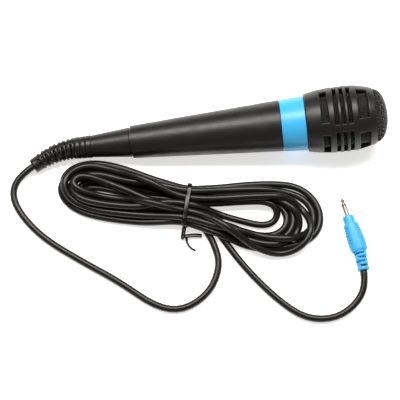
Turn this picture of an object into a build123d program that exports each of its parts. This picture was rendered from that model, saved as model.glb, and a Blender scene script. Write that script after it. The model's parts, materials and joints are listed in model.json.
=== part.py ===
"""Karaoke microphone with a captive cord folded into a tied hank, and a 3.5 mm plug.

The microphone is drawn along its own axis: X is the distance s from the joint between the tail cap
and the handle, positive towards the head, and every turned piece is an outline of (s, radius) points
spun about X. It is then tilted and set down, so that it rests on the rear edge of the handle and on
the widest ring of the head. Millimetres, +Z up, the origin under the middle of the microphone.
"""
from build123d import *
import os
from math import atan2, cos, degrees, radians, sin, tan

# ---------------------------------------------------------------- the handle and its tail cap
CAP_START = -31.0
CAP_REAR_RADIUS = 8.4
CAP_FRONT_RADIUS = 11.37
CAP_WALL = 1.5
CAP_END_WALL = 2.2
CAP_SPIGOT_RADIUS = 10.1
CAP_SPIGOT_END = 9.0
LUG_START = 4.5
LUG_LENGTH = 2.5
LUG_WIDTH = 3.0
LUG_RADIUS = 11.0
LOCK_TURN = 30.0             # the twist that frees the cap's lugs
LOCK_SIGN = 1
MARK_TURN = 51               # the marks lie this far round from straight up, towards -Y
ARROW_PLACE = 17.5
ARROW_WIDTH = 5.6
HANDLE_REAR_RADIUS = 12.45
HANDLE_TAPER = 0.0627        # growth of the radius per millimetre
HANDLE_END = 114.5           # the shoulder that the coloured ring sits against
HANDLE_WALL = 2.3
HANDLE_EDGE = 0.35           # rounding of the rear edge
SPIGOT_RADIUS = 17.4
SPIGOT_BORE = 15.3
SPIGOT_END = 142.0
THREAD_PITCH = 2.0
THREAD_DEPTH = 0.4
THREAD_START = 135.0
THREAD_LENGTH = 6.0
PLAY = 0.15                  # radial play of the fits that turn

# ---------------------------------------------------------------- the head
RING_START = 114.6
RING_END = 133.15
RING_REAR_RADIUS = 19.7
RING_FRONT_RADIUS = 20.9
HEAD_START = 133.25
HEAD_END = 185.5
HEAD_WIDEST = 157.0
HEAD_RADIUS = 25.0
HEAD_REST = 151.5            # the solid ring between the windows that the head rests on
HEAD_REST_RADIUS = 24.8
RIM_RADIUS = 20.8
COLLAR_END = 143.9           # threaded collar in the rear of the head
BASKET_RADIUS = 19.9
BASKET_WALL = 0.8
DOME_START = 186.0
DOME_APEX = 195.0
FOAM_WALL = 3.4
# openings of one window group: start, end and half angle
WINDOWS = [
    (144.8, 150.0, 33.0),
    (154.6, 157.4, 38.0),
    (159.7, 162.5, 38.0),
    (164.8, 167.6, 38.0),
    (172.5, 180.3, 31.0),
]
WINDOW_GROUPS = 4
WINDOW_TURN = 11.0           # the upper group leans this far from straight up, away from the cord

# ---------------------------------------------------------------- the capsule inside the head
CAPSULE_START = 148.0
CAPSULE_END = 160.0
CAPSULE_RADIUS = 14.0
CAPSULE_WALL = 0.8
YOKE_RADIUS = 10.0
MAGNET_RADIUS = 6.4
POLE_RADIUS = 7.0
GAP_RADIUS = 8.3             # inside of the yoke round the voice coil
COIL_INNER = 7.35
COIL_OUTER = 7.9
DIAPHRAGM_RADIUS = 12.4
DIAPHRAGM_START = 157.2
TAG_OFFSET = 5.0
TAG_START = 144.0
LEAD_RADIUS = 0.6

# ---------------------------------------------------------------- the cord and its boot
CORD_DIAMETER = 5.4
CORD_RADIUS = CORD_DIAMETER / 2
BORE_RADIUS = CORD_RADIUS + 0.12
JACKET_END = -22.0           # the cord's end inside the tail cap
BOOT_CORNER = -57.0          # where the cord's line turns inside the boot
BOOT_BEND = 25.0             # towards -Y
BOOT_LENGTH = 46.0
FIRST_RUN = JACKET_END - BOOT_CORNER
BOOT_NECK_RADIUS = 5.2
BOOT_FLANGE_RADIUS = 6.8
BOOT_GROOVES = (4.2, 8.5, 12.8)
BOOT_SLOTS = 9
FIRST_SLOT = 15.2
SLOT_PITCH = 3.05
SLOT_CORE = 3.9              # solid core that the slots of the boot leave
SLOT_HALF_ANGLE = 52
SLOT_LEAN = -60
# outer radius of the boot at distances from the cap
BOOT_OUTLINE = [(0.0, 8.75), (13.0, 8.25), (27.0, 7.35), (40.0, 6.2), (40.6, 5.75), (BOOT_LENGTH, 5.5)]

# the cord from the boot to the hank, after its start in the cap and its corner in the boot
LEAD_ROUTE = [
    (-146.7, -14.8, 5.2),
    (-153.5, -31.0, 3.6),
    (-147.0, -48.0, 2.75),
    (-130.5, -68.0, 2.75),
    (-103.0, -88.0, 2.75),
    (-76.0, -106.0, 2.75),
    (-50.5, -127.5, 2.75),
    (-30.0, -132.0, 2.75),
    (-9.0, -120.0, 2.75),
    (0.5, -100.0, 2.75),
    (-2.5, -83.5, 2.75),
    (-9.0, -69.5, 2.75),
]
# the cord from the hank to the plug
TAIL_ROUTE = [
    (1.0, -74.0, 2.75),
    (17.5, -102.0, 2.75),
    (40.0, -129.5, 2.75),
    (60.5, -146.5, 2.75),
    (83.5, -148.0, 2.75),
    (101.0, -137.0, 3.5),
    (108.0, -122.5, 5.3),
    (107.0, -109.5, 5.3),
]

# ---------------------------------------------------------------- the hank
HANK_CENTRE = (-20.6, -52.7)
HANK_HEADING = -12.0
# sections across it: place along it, middle, half width, underside, top, corner radius
HANK_SECTIONS = [
    (-101.5, 5.7, 6.0, 0.3, 6.0, 2.6),
    (-97.0, 5.8, 12.6, 0.3, 10.5, 4.4),
    (-85.0, 5.9, 20.4, 0.3, 15.0, 5.5),
    (-66.0, 5.2, 23.2, 0.3, 14.0, 5.5),
    (-44.0, 3.4, 22.0, 0.3, 16.0, 6.0),
    (-22.0, 1.3, 19.2, 0.4, 18.0, 6.0),
    (0.0, 0.0, 16.6, 1.2, 15.7, 6.0),
    (22.0, 0.1, 21.4, 0.4, 17.0, 6.0),
    (44.0, -0.3, 26.2, 0.3, 16.0, 5.5),
    (68.0, -0.8, 29.8, 0.3, 12.5, 5.2),
    (88.0, 0.3, 26.0, 0.3, 10.0, 4.6),
    (101.0, 1.8, 13.5, 0.3, 6.6, 2.8),
    (105.5, 1.0, 5.5, 0.3, 5.6, 2.4),
]
TIE_WIDTH = 4.0
TIE_THICKNESS = 0.9

# ---------------------------------------------------------------- the plug, along its own X axis
PLUG_ROOT = (100.2, -71.0, 5.3)
PLUG_HEADING = 12.0          # from +Y towards -X
RELIEF_HEADING = 4.5
PIN_RADIUS = 1.75
SLEEVE_END = 8.2
INSULATOR_END = 9.2
PIN_LENGTH = 14.0
NECK_RADIUS = 4.3
NECK_LENGTH = 6.0
SHELL_LENGTH = 28.5
# sections of the shell: place, half width, half height
SHELL_SECTIONS = [(-NECK_LENGTH, 5.6, 4.9), (-14.0, 6.4, 5.25), (-22.0, 6.8, 5.25), (-SHELL_LENGTH, 6.2, 5.0)]
GRIP_GROOVES = 7
GRIP_PITCH = 1.9
RELIEF_LENGTH = 15.0
RELIEF_RADIUS = 4.8
RELIEF_SLOTS = 4
RELIEF_PITCH = 3.2

# ---------------------------------------------------------------- placing the microphone
HANDLE_REAR_X = -58.37       # puts the origin under the middle of the microphone
FOOT_RADIUS = HANDLE_REAR_RADIUS + HANDLE_TAPER * HANDLE_EDGE
TILT = degrees(atan2(HEAD_REST_RADIUS - FOOT_RADIUS, HEAD_REST - HANDLE_EDGE))
AXIS_HEIGHT = FOOT_RADIUS * cos(radians(TILT)) - HANDLE_EDGE * sin(radians(TILT))
MICROPHONE = Pos(HANDLE_REAR_X, 0, AXIS_HEIGHT) * Rot(0, -TILT, 0)
PLUG = Pos(*PLUG_ROOT) * Rot(0, 0, 90 + PLUG_HEADING)
RELIEF = Pos(-SHELL_LENGTH, 0, 0) * Rot(0, 0, RELIEF_HEADING - PLUG_HEADING)
HANK = Pos(*HANK_CENTRE, 0) * Rot(0, 0, HANK_HEADING)


# ---------------------------------------------------------------- helpers
def turned(points, start=0.0, arc=360.0):
    """Spin an outline of (s, radius) points about X; start is the angle that the spin begins at."""
    return Rot(start, 0, 0) * revolve(make_face(Polyline(*points, close=True)), Axis.X, arc)


def tube(s0, s1, inner, outer):
    """A plain ring between two places and two radii."""
    return turned([(s0, inner), (s0, outer), (s1, outer), (s1, inner)])


def disc(s0, s1, radius):
    """A plain disc between two places."""
    return tube(s0, s1, 0, radius)


def sector(s0, s1, inner, outer, middle, half):
    """A piece of a ring; its middle is an angle from straight up (+Z), positive towards +Y."""
    return turned([(s0, inner), (s0, outer), (s1, outer), (s1, inner)], 90 - middle - half, 2 * half)


def handle_radius(s):
    """Outer radius of the handle's cone."""
    return HANDLE_REAR_RADIUS + HANDLE_TAPER * s


def blend(table, place):
    """Straight-line reading of a table of (place, value) pairs."""
    for (p0, v0), (p1, v1) in zip(table, table[1:]):
        if place <= p1:
            return v0 + (v1 - v0) * (place - p0) / (p1 - p0)
    return table[-1][1]


def corner_radius(before, corner, after):
    """The largest tidy arc at a corner: 0.45 of the shorter run over the tangent of half the turn."""
    turn = radians((corner - before).get_angle(after - corner))
    return 0.45 * min((corner - before).length, (after - corner).length) / tan(turn / 2)


def cord_tube(name, points, radius=CORD_RADIUS):
    """A round tube along straight runs joined by arcs, with its length, radii and volume printed."""
    corners = [Vector(*p) for p in points]
    radii = [corner_radius(*three) for three in zip(corners, corners[1:], corners[2:])]
    path = FilletPolyline(*corners, radius=radii)
    section = Plane(path @ 0, z_dir=path % 0) * Circle(radius)
    solid = sweep(section, path=path)
    ratio = solid.volume / (section.area * path.length)
    rounded = [round(r, 1) for r in radii]
    print(name, "length", round(path.length, 1), "radii", rounded, "ratio", round(ratio, 4))
    return solid


# ---------------------------------------------------------------- tail end
def tail_cap():
    """Tapered cap with a spigot and two lugs that lock in the handle."""
    hole = BOOT_NECK_RADIUS + 0.1
    inner_rear = CAP_REAR_RADIUS - CAP_WALL
    inner_front = CAP_SPIGOT_RADIUS - 1.8
    cap = turned([
        (CAP_START, hole),
        (CAP_START, CAP_REAR_RADIUS - 0.3),
        (CAP_START + 0.3, CAP_REAR_RADIUS),
        (-1.3, CAP_FRONT_RADIUS),
        (-0.8, CAP_FRONT_RADIUS - 0.4),
        (-0.1, CAP_FRONT_RADIUS - 0.4),
        (-0.1, CAP_SPIGOT_RADIUS),
        (CAP_SPIGOT_END, CAP_SPIGOT_RADIUS),
        (CAP_SPIGOT_END, inner_front),
        (0, inner_front),
        (CAP_START + CAP_END_WALL, inner_rear),
        (CAP_START + CAP_END_WALL, hole),
    ])
    height = LUG_RADIUS - CAP_SPIGOT_RADIUS + 0.5
    lug = Box(LUG_LENGTH, height, LUG_WIDTH)
    for side in (-1, 1):
        cap += Pos(LUG_START + LUG_LENGTH / 2, side * (LUG_RADIUS - height / 2), 0) * lug
    # two small raised bars: the mark that the arrow on the handle belongs to
    for s in (-10.5, -8.0):
        radius = blend([(CAP_START, CAP_REAR_RADIUS), (0, CAP_FRONT_RADIUS)], s)
        cap += Rot(MARK_TURN, 0, 0) * Pos(s, 0, radius - 0.2) * Box(0.5, 2.6, 0.7)
    return cap


def boot_place(distance):
    """Where the boot's line is: straight out of the cap, one arc towards -Y, straight again."""
    tangent = 0.45 * FIRST_RUN
    radius = tangent / tan(radians(BOOT_BEND / 2))
    straight = CAP_START - BOOT_CORNER - tangent
    angle = min(max((distance - straight) / radius, 0), radians(BOOT_BEND))
    before = min(distance, straight)
    after = max(distance - straight - radius * radians(BOOT_BEND), 0)
    x = CAP_START - before - radius * sin(angle) - after * cos(angle)
    y = -radius * (1 - cos(angle)) - after * sin(angle)
    return Pos(x, y, 0) * Rot(0, 0, degrees(angle))


def slot_pair(width, lean, core, outer):
    """Two opposite slots of a strain relief, cut down to its core."""
    return [sector(-width / 2, width / 2, core, outer, lean + side, SLOT_HALF_ANGLE) for side in (0, 180)]


def cord_boot():
    """Moulded strain relief: a flange held in the cap, three bands, ribs with slots, an end collar."""
    stations = [0.0, 6.5, 13.0, 20.0, 27.0, 33.5, 40.2]
    body = loft([boot_place(d) * (Plane.YZ * Circle(blend(BOOT_OUTLINE, d))) for d in stations])
    collar_radii = [(40.1, 5.75), (BOOT_LENGTH, 5.5)]
    body += loft([boot_place(d) * (Plane.YZ * Circle(radius)) for d, radius in collar_radii])
    inner_face = CAP_START + CAP_END_WALL + 0.05
    body += disc(CAP_START - 0.5, inner_face, BOOT_NECK_RADIUS)
    body += disc(inner_face, inner_face + 2.0, BOOT_FLANGE_RADIUS)
    for distance in BOOT_GROOVES:
        radius = blend(BOOT_OUTLINE, distance)
        body -= boot_place(distance) * tube(-0.3, 0.3, radius - 0.6, radius + 1)
    for index in range(BOOT_SLOTS):
        for slot in slot_pair(1.4, SLOT_LEAN + 90 * (index % 2), SLOT_CORE, 10):
            body -= boot_place(FIRST_SLOT + SLOT_PITCH * index) * slot
    reach = FIRST_RUN + 6
    bend = radians(BOOT_BEND)
    ends = [
        (BOOT_CORNER + reach, 0, 0),
        (BOOT_CORNER, 0, 0),
        (BOOT_CORNER - reach * cos(bend), -reach * sin(bend), 0),
    ]
    line = FilletPolyline(*ends, radius=0.45 * FIRST_RUN / tan(bend / 2))
    return body - sweep(Plane(line @ 0, z_dir=line % 0) * Circle(BORE_RADIUS), path=line)


def cord_crimp():
    """Metal ferrule pressed round the jacket, which stops the cord being pulled out."""
    return tube(JACKET_END - 4.6, JACKET_END - 0.8, CORD_RADIUS + 0.03, 4.2)


def lead(side):
    """Thin insulated inner lead, from the jacket's end to its tag behind the capsule."""
    route = [
        (JACKET_END + 0.1, 0.9 * side, 0),
        (-4, 2.4 * side, 1.0),
        (22, 3.6 * side, -1.2),
        (56, 1.4 * side, 1.6),
        (92, 3.4 * side, 0.4),
        (120, 2.6 * side, -1.4),
        (TAG_START - 0.2, TAG_OFFSET * side, 0),
    ]
    return cord_tube("lead", route, LEAD_RADIUS)


# ---------------------------------------------------------------- handle
def handle_barrel():
    """Tapered tube with a bayonet socket at the rear and a threaded spigot in front."""
    inner = [(s, handle_radius(s) - HANDLE_WALL) for s in (10.5, 104.0)]
    bore = CAP_SPIGOT_RADIUS + PLAY
    barrel = turned([
        (0, bore),
        (0, HANDLE_REAR_RADIUS - HANDLE_EDGE),
        (HANDLE_EDGE, FOOT_RADIUS),
        (HANDLE_END, handle_radius(HANDLE_END)),
        (HANDLE_END, SPIGOT_RADIUS),
        (THREAD_START - 1, SPIGOT_RADIUS),
        (THREAD_START - 0.6, SPIGOT_RADIUS - THREAD_DEPTH),
        (SPIGOT_END, SPIGOT_RADIUS - THREAD_DEPTH),
        (SPIGOT_END, SPIGOT_BORE),
        (108.0, SPIGOT_BORE),
        inner[1],
        inner[0],
        (10.5, bore),
    ])
    thread_root = SPIGOT_RADIUS - THREAD_DEPTH
    helix = Pos(THREAD_START, 0, 0) * Rot(0, 90, 0) * Helix(THREAD_PITCH, THREAD_LENGTH, thread_root - 0.1)
    tooth = [(-0.6, 0), (-0.25, THREAD_DEPTH + 0.1), (0.25, THREAD_DEPTH + 0.1), (0.6, 0)]
    start = helix @ 0
    outward = (start - Vector(THREAD_START, 0, 0)).normalized()
    section = Plane(start, x_dir=(1, 0, 0), z_dir=Vector(1, 0, 0).cross(outward)) * make_face(
        Polyline(*tooth, close=True))
    barrel += sweep(section, path=helix, is_frenet=True)
    groove_half = degrees(LUG_WIDTH / 2 / LUG_RADIUS) + 2
    lock_half = groove_half + LOCK_TURN / 2
    lug_end = LUG_START + LUG_LENGTH
    for side in (90, -90):
        middle = side + LOCK_TURN / 2 * LOCK_SIGN
        entry = side + LOCK_TURN * LOCK_SIGN
        barrel -= sector(LUG_START - 0.3, lug_end + 0.3, bore - 0.5, LUG_RADIUS + PLAY, middle, lock_half)
        barrel -= sector(-0.5, lug_end, bore - 0.5, LUG_RADIUS + PLAY, entry, groove_half)
    return barrel - arrow_mark()


def arrow_mark():
    """Small engraved arrow that points round the handle, in the way that the cap unlocks."""
    half = ARROW_WIDTH / 2
    outline = [(-0.45, 0), (-0.45, 2.2), (-half, 2.2), (0, 4.4), (half, 2.2), (0.45, 2.2), (0.45, 0)]
    prism = extrude(make_face(Polyline(*outline, close=True)), 2)
    floor = handle_radius(ARROW_PLACE) - 0.35
    return Rot(MARK_TURN + 14, 0, 0) * Pos(ARROW_PLACE, 2.2, floor) * Rot(0, 0, 180) * prism


def colour_ring():
    """Coloured band that sits on the spigot between the handle and the head."""
    inner = SPIGOT_RADIUS + PLAY
    return turned([
        (RING_START, inner),
        (RING_START, RING_REAR_RADIUS - 0.2),
        (RING_START + 0.2, RING_REAR_RADIUS),
        (RING_END - 0.2, RING_FRONT_RADIUS),
        (RING_END, RING_FRONT_RADIUS - 0.2),
        (RING_END, inner),
    ])


# ---------------------------------------------------------------- head
def head_housing():
    """Moulded cage: a thick waist, four groups of windows and a plain front rim."""
    rear = (HEAD_START + 1.1, 22.2)
    widest = (HEAD_WIDEST, HEAD_RADIUS)
    front = (HEAD_END - 0.5, RIM_RADIUS)
    inner = [
        (HEAD_END, BASKET_RADIUS + 0.25),
        (181.0, BASKET_RADIUS + 0.25),
        (168.0, 22.1),
        (HEAD_WIDEST, 22.7),
        (149.0, 22.2),
        (146.5, BASKET_RADIUS + 0.25),
        (COLLAR_END + 0.6, BASKET_RADIUS + 0.25),
        (COLLAR_END + 0.6, BASKET_RADIUS + 1.0),
        (HEAD_START, BASKET_RADIUS + 1.0),
        (HEAD_START, 21.3),
        rear,
    ]
    outline = [
        ThreePointArc(rear, (145.5, 24.15), widest),
        ThreePointArc(widest, (172.0, 24.0), front),
        Polyline(front, (HEAD_END, RIM_RADIUS - 0.5), *inner),
    ]
    housing = revolve(make_face(outline), Axis.X)
    for group in range(WINDOW_GROUPS):
        middle = WINDOW_TURN + 360 / WINDOW_GROUPS * group
        for s0, s1, half in WINDOWS:
            housing -= sector(s0, s1, 18, 27, middle, half)
    return housing


def thread_collar():
    """Threaded insert that closes the rear of the head and screws on to the handle."""
    return turned([
        (HEAD_START + 0.2, SPIGOT_RADIUS + PLAY),
        (HEAD_START + 0.2, BASKET_RADIUS + 0.95),
        (COLLAR_END, BASKET_RADIUS + 0.95),
        (COLLAR_END, SPIGOT_RADIUS + PLAY),
    ])


def dome(base_radius, base, apex):
    """A point half way up and the top of a round dome, for its outline's arc."""
    rise = apex - base
    ball = (base_radius ** 2 + rise ** 2) / (2 * rise)
    middle_radius = base_radius * 0.55
    return (apex - ball + (ball ** 2 - middle_radius ** 2) ** 0.5, middle_radius), (apex, 0)


def thimble(start, outer, inner, base, apex, thickness, flange=None):
    """A cylinder closed by a dome, open at the rear, with an optional flange."""
    out_middle, out_top = dome(outer, base, apex)
    in_middle, in_top = dome(inner, base, apex - thickness)
    rear = [(start, inner), (start, outer)]
    if flange:
        rear = [(start, inner), (start, flange), (start + 0.5, flange), (start + 0.5, outer)]
    outline = [
        Polyline(*rear, (base, outer)),
        ThreePointArc((base, outer), out_middle, out_top),
        Line(out_top, in_top),
        ThreePointArc(in_top, in_middle, (base, inner)),
        Line((base, inner), (start, inner)),
    ]
    return revolve(make_face(outline), Axis.X)


def mesh_basket():
    """Woven wire thimble whose dome stands out of the front of the head."""
    inner = BASKET_RADIUS - BASKET_WALL
    return thimble(COLLAR_END + 0.05, BASKET_RADIUS, inner, DOME_START, DOME_APEX, BASKET_WALL,
                   flange=BASKET_RADIUS + 0.9)


def foam_liner():
    """Foam windscreen that fills the basket in front of and round the capsule."""
    outer = BASKET_RADIUS - BASKET_WALL - 0.15
    apex = DOME_APEX - BASKET_WALL - 0.3
    return thimble(153.3, outer, outer - FOAM_WALL, DOME_START - 0.2, apex, FOAM_WALL)


# ---------------------------------------------------------------- capsule
def capsule_mount():
    """Rubber ring that holds the capsule in the head."""
    outer = BASKET_RADIUS - BASKET_WALL - 0.1
    return turned([
        (COLLAR_END + 0.05, 15.6),
        (COLLAR_END + 0.05, outer),
        (153.0, outer),
        (153.0, CAPSULE_RADIUS + 0.03),
        (CAPSULE_START - 0.03, CAPSULE_RADIUS + 0.03),
        (CAPSULE_START - 0.03, 11.5),
        (146.6, 11.5),
    ])


def capsule_case():
    """Drawn aluminium cup round the capsule, with two holes in its floor for the tags."""
    inner = CAPSULE_RADIUS - CAPSULE_WALL
    case = turned([
        (CAPSULE_START, 0),
        (CAPSULE_START, CAPSULE_RADIUS),
        (CAPSULE_END, CAPSULE_RADIUS),
        (CAPSULE_END, inner),
        (CAPSULE_START + 1, inner),
        (CAPSULE_START + 1, 0),
    ])
    for side in (-1, 1):
        case -= Pos(CAPSULE_START + 0.5, TAG_OFFSET * side, 0) * Rot(0, 90, 0) * Cylinder(1.1, 2)
    return case


def capsule_frame():
    """Plastic ring that centres the yoke in the case."""
    return tube(CAPSULE_START + 1.05, 156.2, YOKE_RADIUS + 0.03, CAPSULE_RADIUS - CAPSULE_WALL - 0.05)


def yoke():
    """Steel cup of the magnet system."""
    floor = CAPSULE_START + 1.05
    return turned([(floor, 0), (floor, YOKE_RADIUS), (156.0, YOKE_RADIUS), (156.0, GAP_RADIUS),
                   (floor + 1.6, GAP_RADIUS), (floor + 1.6, 0)])


def magnet():
    """Disc magnet on the yoke's floor."""
    return disc(CAPSULE_START + 2.65, 154.0, MAGNET_RADIUS)


def pole_plate():
    """Steel disc on the magnet, which carries the flux to the gap."""
    return disc(154.0, 156.0, POLE_RADIUS)


def voice_coil():
    """Coil on the diaphragm, hanging in the gap."""
    return tube(153.2, DIAPHRAGM_START, COIL_INNER, COIL_OUTER)


def diaphragm():
    """Thin film: a cone of a dome over the coil and a flat surround."""
    film = 0.25
    top = DIAPHRAGM_START + 1.1
    return turned([
        (DIAPHRAGM_START, COIL_OUTER),
        (DIAPHRAGM_START, DIAPHRAGM_RADIUS),
        (DIAPHRAGM_START + film, DIAPHRAGM_RADIUS),
        (DIAPHRAGM_START + film, COIL_OUTER),
        (top, 4.0),
        (top + film, 0),
        (top, 0),
        (top - film, 4.0),
        (DIAPHRAGM_START, COIL_INNER),
    ])


def diaphragm_ring():
    """Ring that the edge of the film is stretched on."""
    return tube(156.3, 158.2, DIAPHRAGM_RADIUS + 0.2, CAPSULE_RADIUS - CAPSULE_WALL - 0.05)


def capsule_cloth():
    """Thin cloth behind the cover, which damps the capsule."""
    return disc(159.15, 159.4, CAPSULE_RADIUS - CAPSULE_WALL - 0.1)


def capsule_cover():
    """Punched cover over the diaphragm."""
    cover = disc(159.4, CAPSULE_END, CAPSULE_RADIUS - CAPSULE_WALL - 0.05)
    hole = Rot(0, 90, 0) * Cylinder(0.9, 4)
    cover -= Pos(CAPSULE_END, 0, 0) * hole
    for count, radius in ((6, 4.2), (12, 8.4)):
        for index in range(count):
            cover -= Rot(360 / count * index, 0, 0) * Pos(CAPSULE_END, radius, 0) * hole
    return cover


def terminal_board():
    """Fibre board behind the case, with a slot for each tag."""
    board = disc(CAPSULE_START - 1.05, CAPSULE_START - 0.05, 10.0)
    for side in (-1, 1):
        board -= Pos(CAPSULE_START - 0.5, TAG_OFFSET * side, 0) * Box(2, 0.5, 1.8)
    return board


def terminal_tags():
    """Two solder tags through the board."""
    length = CAPSULE_START + 0.5 - TAG_START
    return [Pos(TAG_START + length / 2, TAG_OFFSET * side, 0) * Box(length, 0.4, 1.6) for side in (-1, 1)]


# ---------------------------------------------------------------- hank and its tie
def cord_hank():
    """Closed solid of the hank's outer shape: two lobes and the waist that the tie holds."""
    sections = []
    for place, middle, half, low, high, corner in HANK_SECTIONS:
        outline = RectangleRounded(2 * half, high - low, corner)
        sections.append(HANK * Pos(place, middle, (low + high) / 2) * (Plane.YZ * outline))
    return loft(sections)


def hank_tie():
    """Twist tie: a flat band round the waist, its twisted knot and two loose ends."""
    place, middle, half, low, high, corner = HANK_SECTIONS[len(HANK_SECTIONS) // 2]
    inner = RectangleRounded(2 * half, high - low, corner)
    around = 2 * TIE_THICKNESS
    outer = RectangleRounded(2 * half + around, high - low + around, corner + TIE_THICKNESS)
    band = extrude(Plane.YZ * (outer - inner), TIE_WIDTH / 2, both=True)
    tie = Pos(place, middle, (low + high) / 2) * band
    side = -half - TIE_THICKNESS
    tie += Pos(place, side - 3.5, 4.0) * Rot(90, 0, 0) * Cylinder(1.7, 8)
    tie += Pos(place + 7.0, side - 5.6, 3.4) * Rot(0, 0, 4) * Box(15, 2.6, 0.9)
    tie += Pos(place + 3.6, side - 10.0, 2.6) * Rot(0, 0, -58) * Box(10, 1.3, 0.9)
    return HANK * tie


# ---------------------------------------------------------------- plug
def plug_sleeve():
    """Plated sleeve of the pin, with a shoulder inside the shell."""
    return turned([
        (-4.0, 1.2),
        (-4.0, 3.0),
        (-1.0, 3.0),
        (-1.0, 1.5),
        (0, PIN_RADIUS - 0.05),
        (0, PIN_RADIUS),
        (SLEEVE_END, PIN_RADIUS),
        (SLEEVE_END, 1.2),
    ])


def plug_insulator():
    """Insulating tube round the tip's rod; its front end is the black ring of the pin."""
    return turned([(-5.0, 0.6), (-5.0, 1.15), (SLEEVE_END, 1.15), (SLEEVE_END, PIN_RADIUS),
                   (INSULATOR_END, PIN_RADIUS), (INSULATOR_END, 0.6)])


def plug_tip():
    """Plated tip: a short collar, a groove that the jack's spring drops in, a cone, and its rod."""
    return turned([
        (-6.5, 0),
        (-6.5, 0.55),
        (INSULATOR_END, 0.55),
        (INSULATOR_END, 1.68),
        (9.9, 1.58),
        (10.9, 1.12),
        (11.4, 1.12),
        (12.4, 1.6),
        (12.7, 1.6),
        (PIN_LENGTH - 0.1, 0.7),
        (PIN_LENGTH, 0.5),
        (PIN_LENGTH, 0),
    ])


def plug_shell():
    """Oval moulded shell: a round neck, a wider grip with fine grooves on its flanks."""
    shell = loft([Pos(x, 0, 0) * (Plane.YZ * Ellipse(half, height)) for x, half, height in SHELL_SECTIONS])
    shell += turned([
        (-NECK_LENGTH - 1, 0),
        (-NECK_LENGTH - 1, NECK_RADIUS + 0.2),
        (-0.7, NECK_RADIUS),
        (0, NECK_RADIUS - 0.7),
        (0, 0),
    ])
    for index in range(GRIP_GROOVES):
        place = -10.0 - GRIP_PITCH * index
        half = blend([(-x, half) for x, half, height in SHELL_SECTIONS], -place)
        for side in (-1, 1):
            shell -= Pos(place, side * (half + 0.55), 0) * Box(0.6, 2.2, 6.0)
    shell -= disc(-7.0, 1.0, PIN_RADIUS)
    shell -= disc(-8.5, -0.98, 3.05)
    return shell - RELIEF * disc(-2.0, 0, RELIEF_RADIUS)


def plug_relief():
    """Ribbed strain relief that leaves the shell a few degrees off the plug's own axis."""
    body = turned([
        (0, 0),
        (0, RELIEF_RADIUS),
        (-12.6, RELIEF_RADIUS - 0.5),
        (-13.0, RELIEF_RADIUS - 0.2),
        (-RELIEF_LENGTH + 0.4, RELIEF_RADIUS - 0.2),
        (-RELIEF_LENGTH, RELIEF_RADIUS - 0.6),
        (-RELIEF_LENGTH, 0),
    ])
    for index in range(RELIEF_SLOTS):
        for slot in slot_pair(1.4, 35 - 70 * (index % 2), 3.4, 7):
            body -= Pos(-2.1 - RELIEF_PITCH * index, 0, 0) * slot
    body -= disc(-RELIEF_LENGTH - 1, -4.2, BORE_RADIUS)
    return RELIEF * body


# ---------------------------------------------------------------- the assembly
def microphone_pieces():
    """Every piece that is drawn along the microphone's axis."""
    return {
        "tail_cap": tail_cap(),
        "cord_boot": cord_boot(),
        "cord_crimp": cord_crimp(),
        "signal_lead": lead(1),
        "ground_lead": lead(-1),
        "handle_barrel": handle_barrel(),
        "colour_ring": colour_ring(),
        "head_housing": head_housing(),
        "thread_collar": thread_collar(),
        "mesh_basket": mesh_basket(),
        "foam_liner": foam_liner(),
        "capsule_mount": capsule_mount(),
        "capsule_case": capsule_case(),
        "capsule_frame": capsule_frame(),
        "yoke": yoke(),
        "magnet": magnet(),
        "pole_plate": pole_plate(),
        "diaphragm_ring": diaphragm_ring(),
        "capsule_cloth": capsule_cloth(),
        "capsule_cover": capsule_cover(),
        "terminal_board": terminal_board(),
        "voice_coil": voice_coil(),
        "diaphragm": diaphragm(),
    }


def plug_pieces():
    """Every piece of the plug."""
    return {
        "plug_shell": plug_shell(),
        "plug_relief": plug_relief(),
        "plug_sleeve": plug_sleeve(),
        "plug_insulator": plug_insulator(),
        "plug_tip": plug_tip(),
    }


def all_pieces():
    """Every node, in its place."""
    pieces = {name: MICROPHONE * piece for name, piece in microphone_pieces().items()}
    pieces["terminal_tags"] = Compound([MICROPHONE * tag for tag in terminal_tags()])
    pieces.update({name: PLUG * piece for name, piece in plug_pieces().items()})
    start = [(MICROPHONE * Pos(s, 0, 0)).position for s in (JACKET_END, BOOT_CORNER)]
    pieces["cord_lead"] = cord_tube("cord_lead", start + LEAD_ROUTE)
    pieces["cord_tail"] = cord_tube("cord_tail", TAIL_ROUTE)
    pieces["cord_hank"] = cord_hank()
    pieces["hank_tie"] = hank_tie()
    return pieces


if __name__ == "__main__":
    os.makedirs("parts", exist_ok=True)
    for node, shape in all_pieces().items():
        export_step(shape, "parts/" + node + ".step")
    print("tilt", round(TILT, 3), "axis height", round(AXIS_HEIGHT, 3))
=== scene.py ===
"""Looks of the karaoke microphone, its tied cord and its plug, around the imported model.

Lengths in the constants are millimetres and are brought to metres by MM. The microphone's pieces are made
along its own axis: X is the distance s from the joint between tail cap and handle, Z is up at rest.
"""
import json
from math import cos, degrees, pi, radians, sin, sqrt, tan

import bmesh
import bpy
import numpy as np
from mathutils import Matrix, Vector


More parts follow.
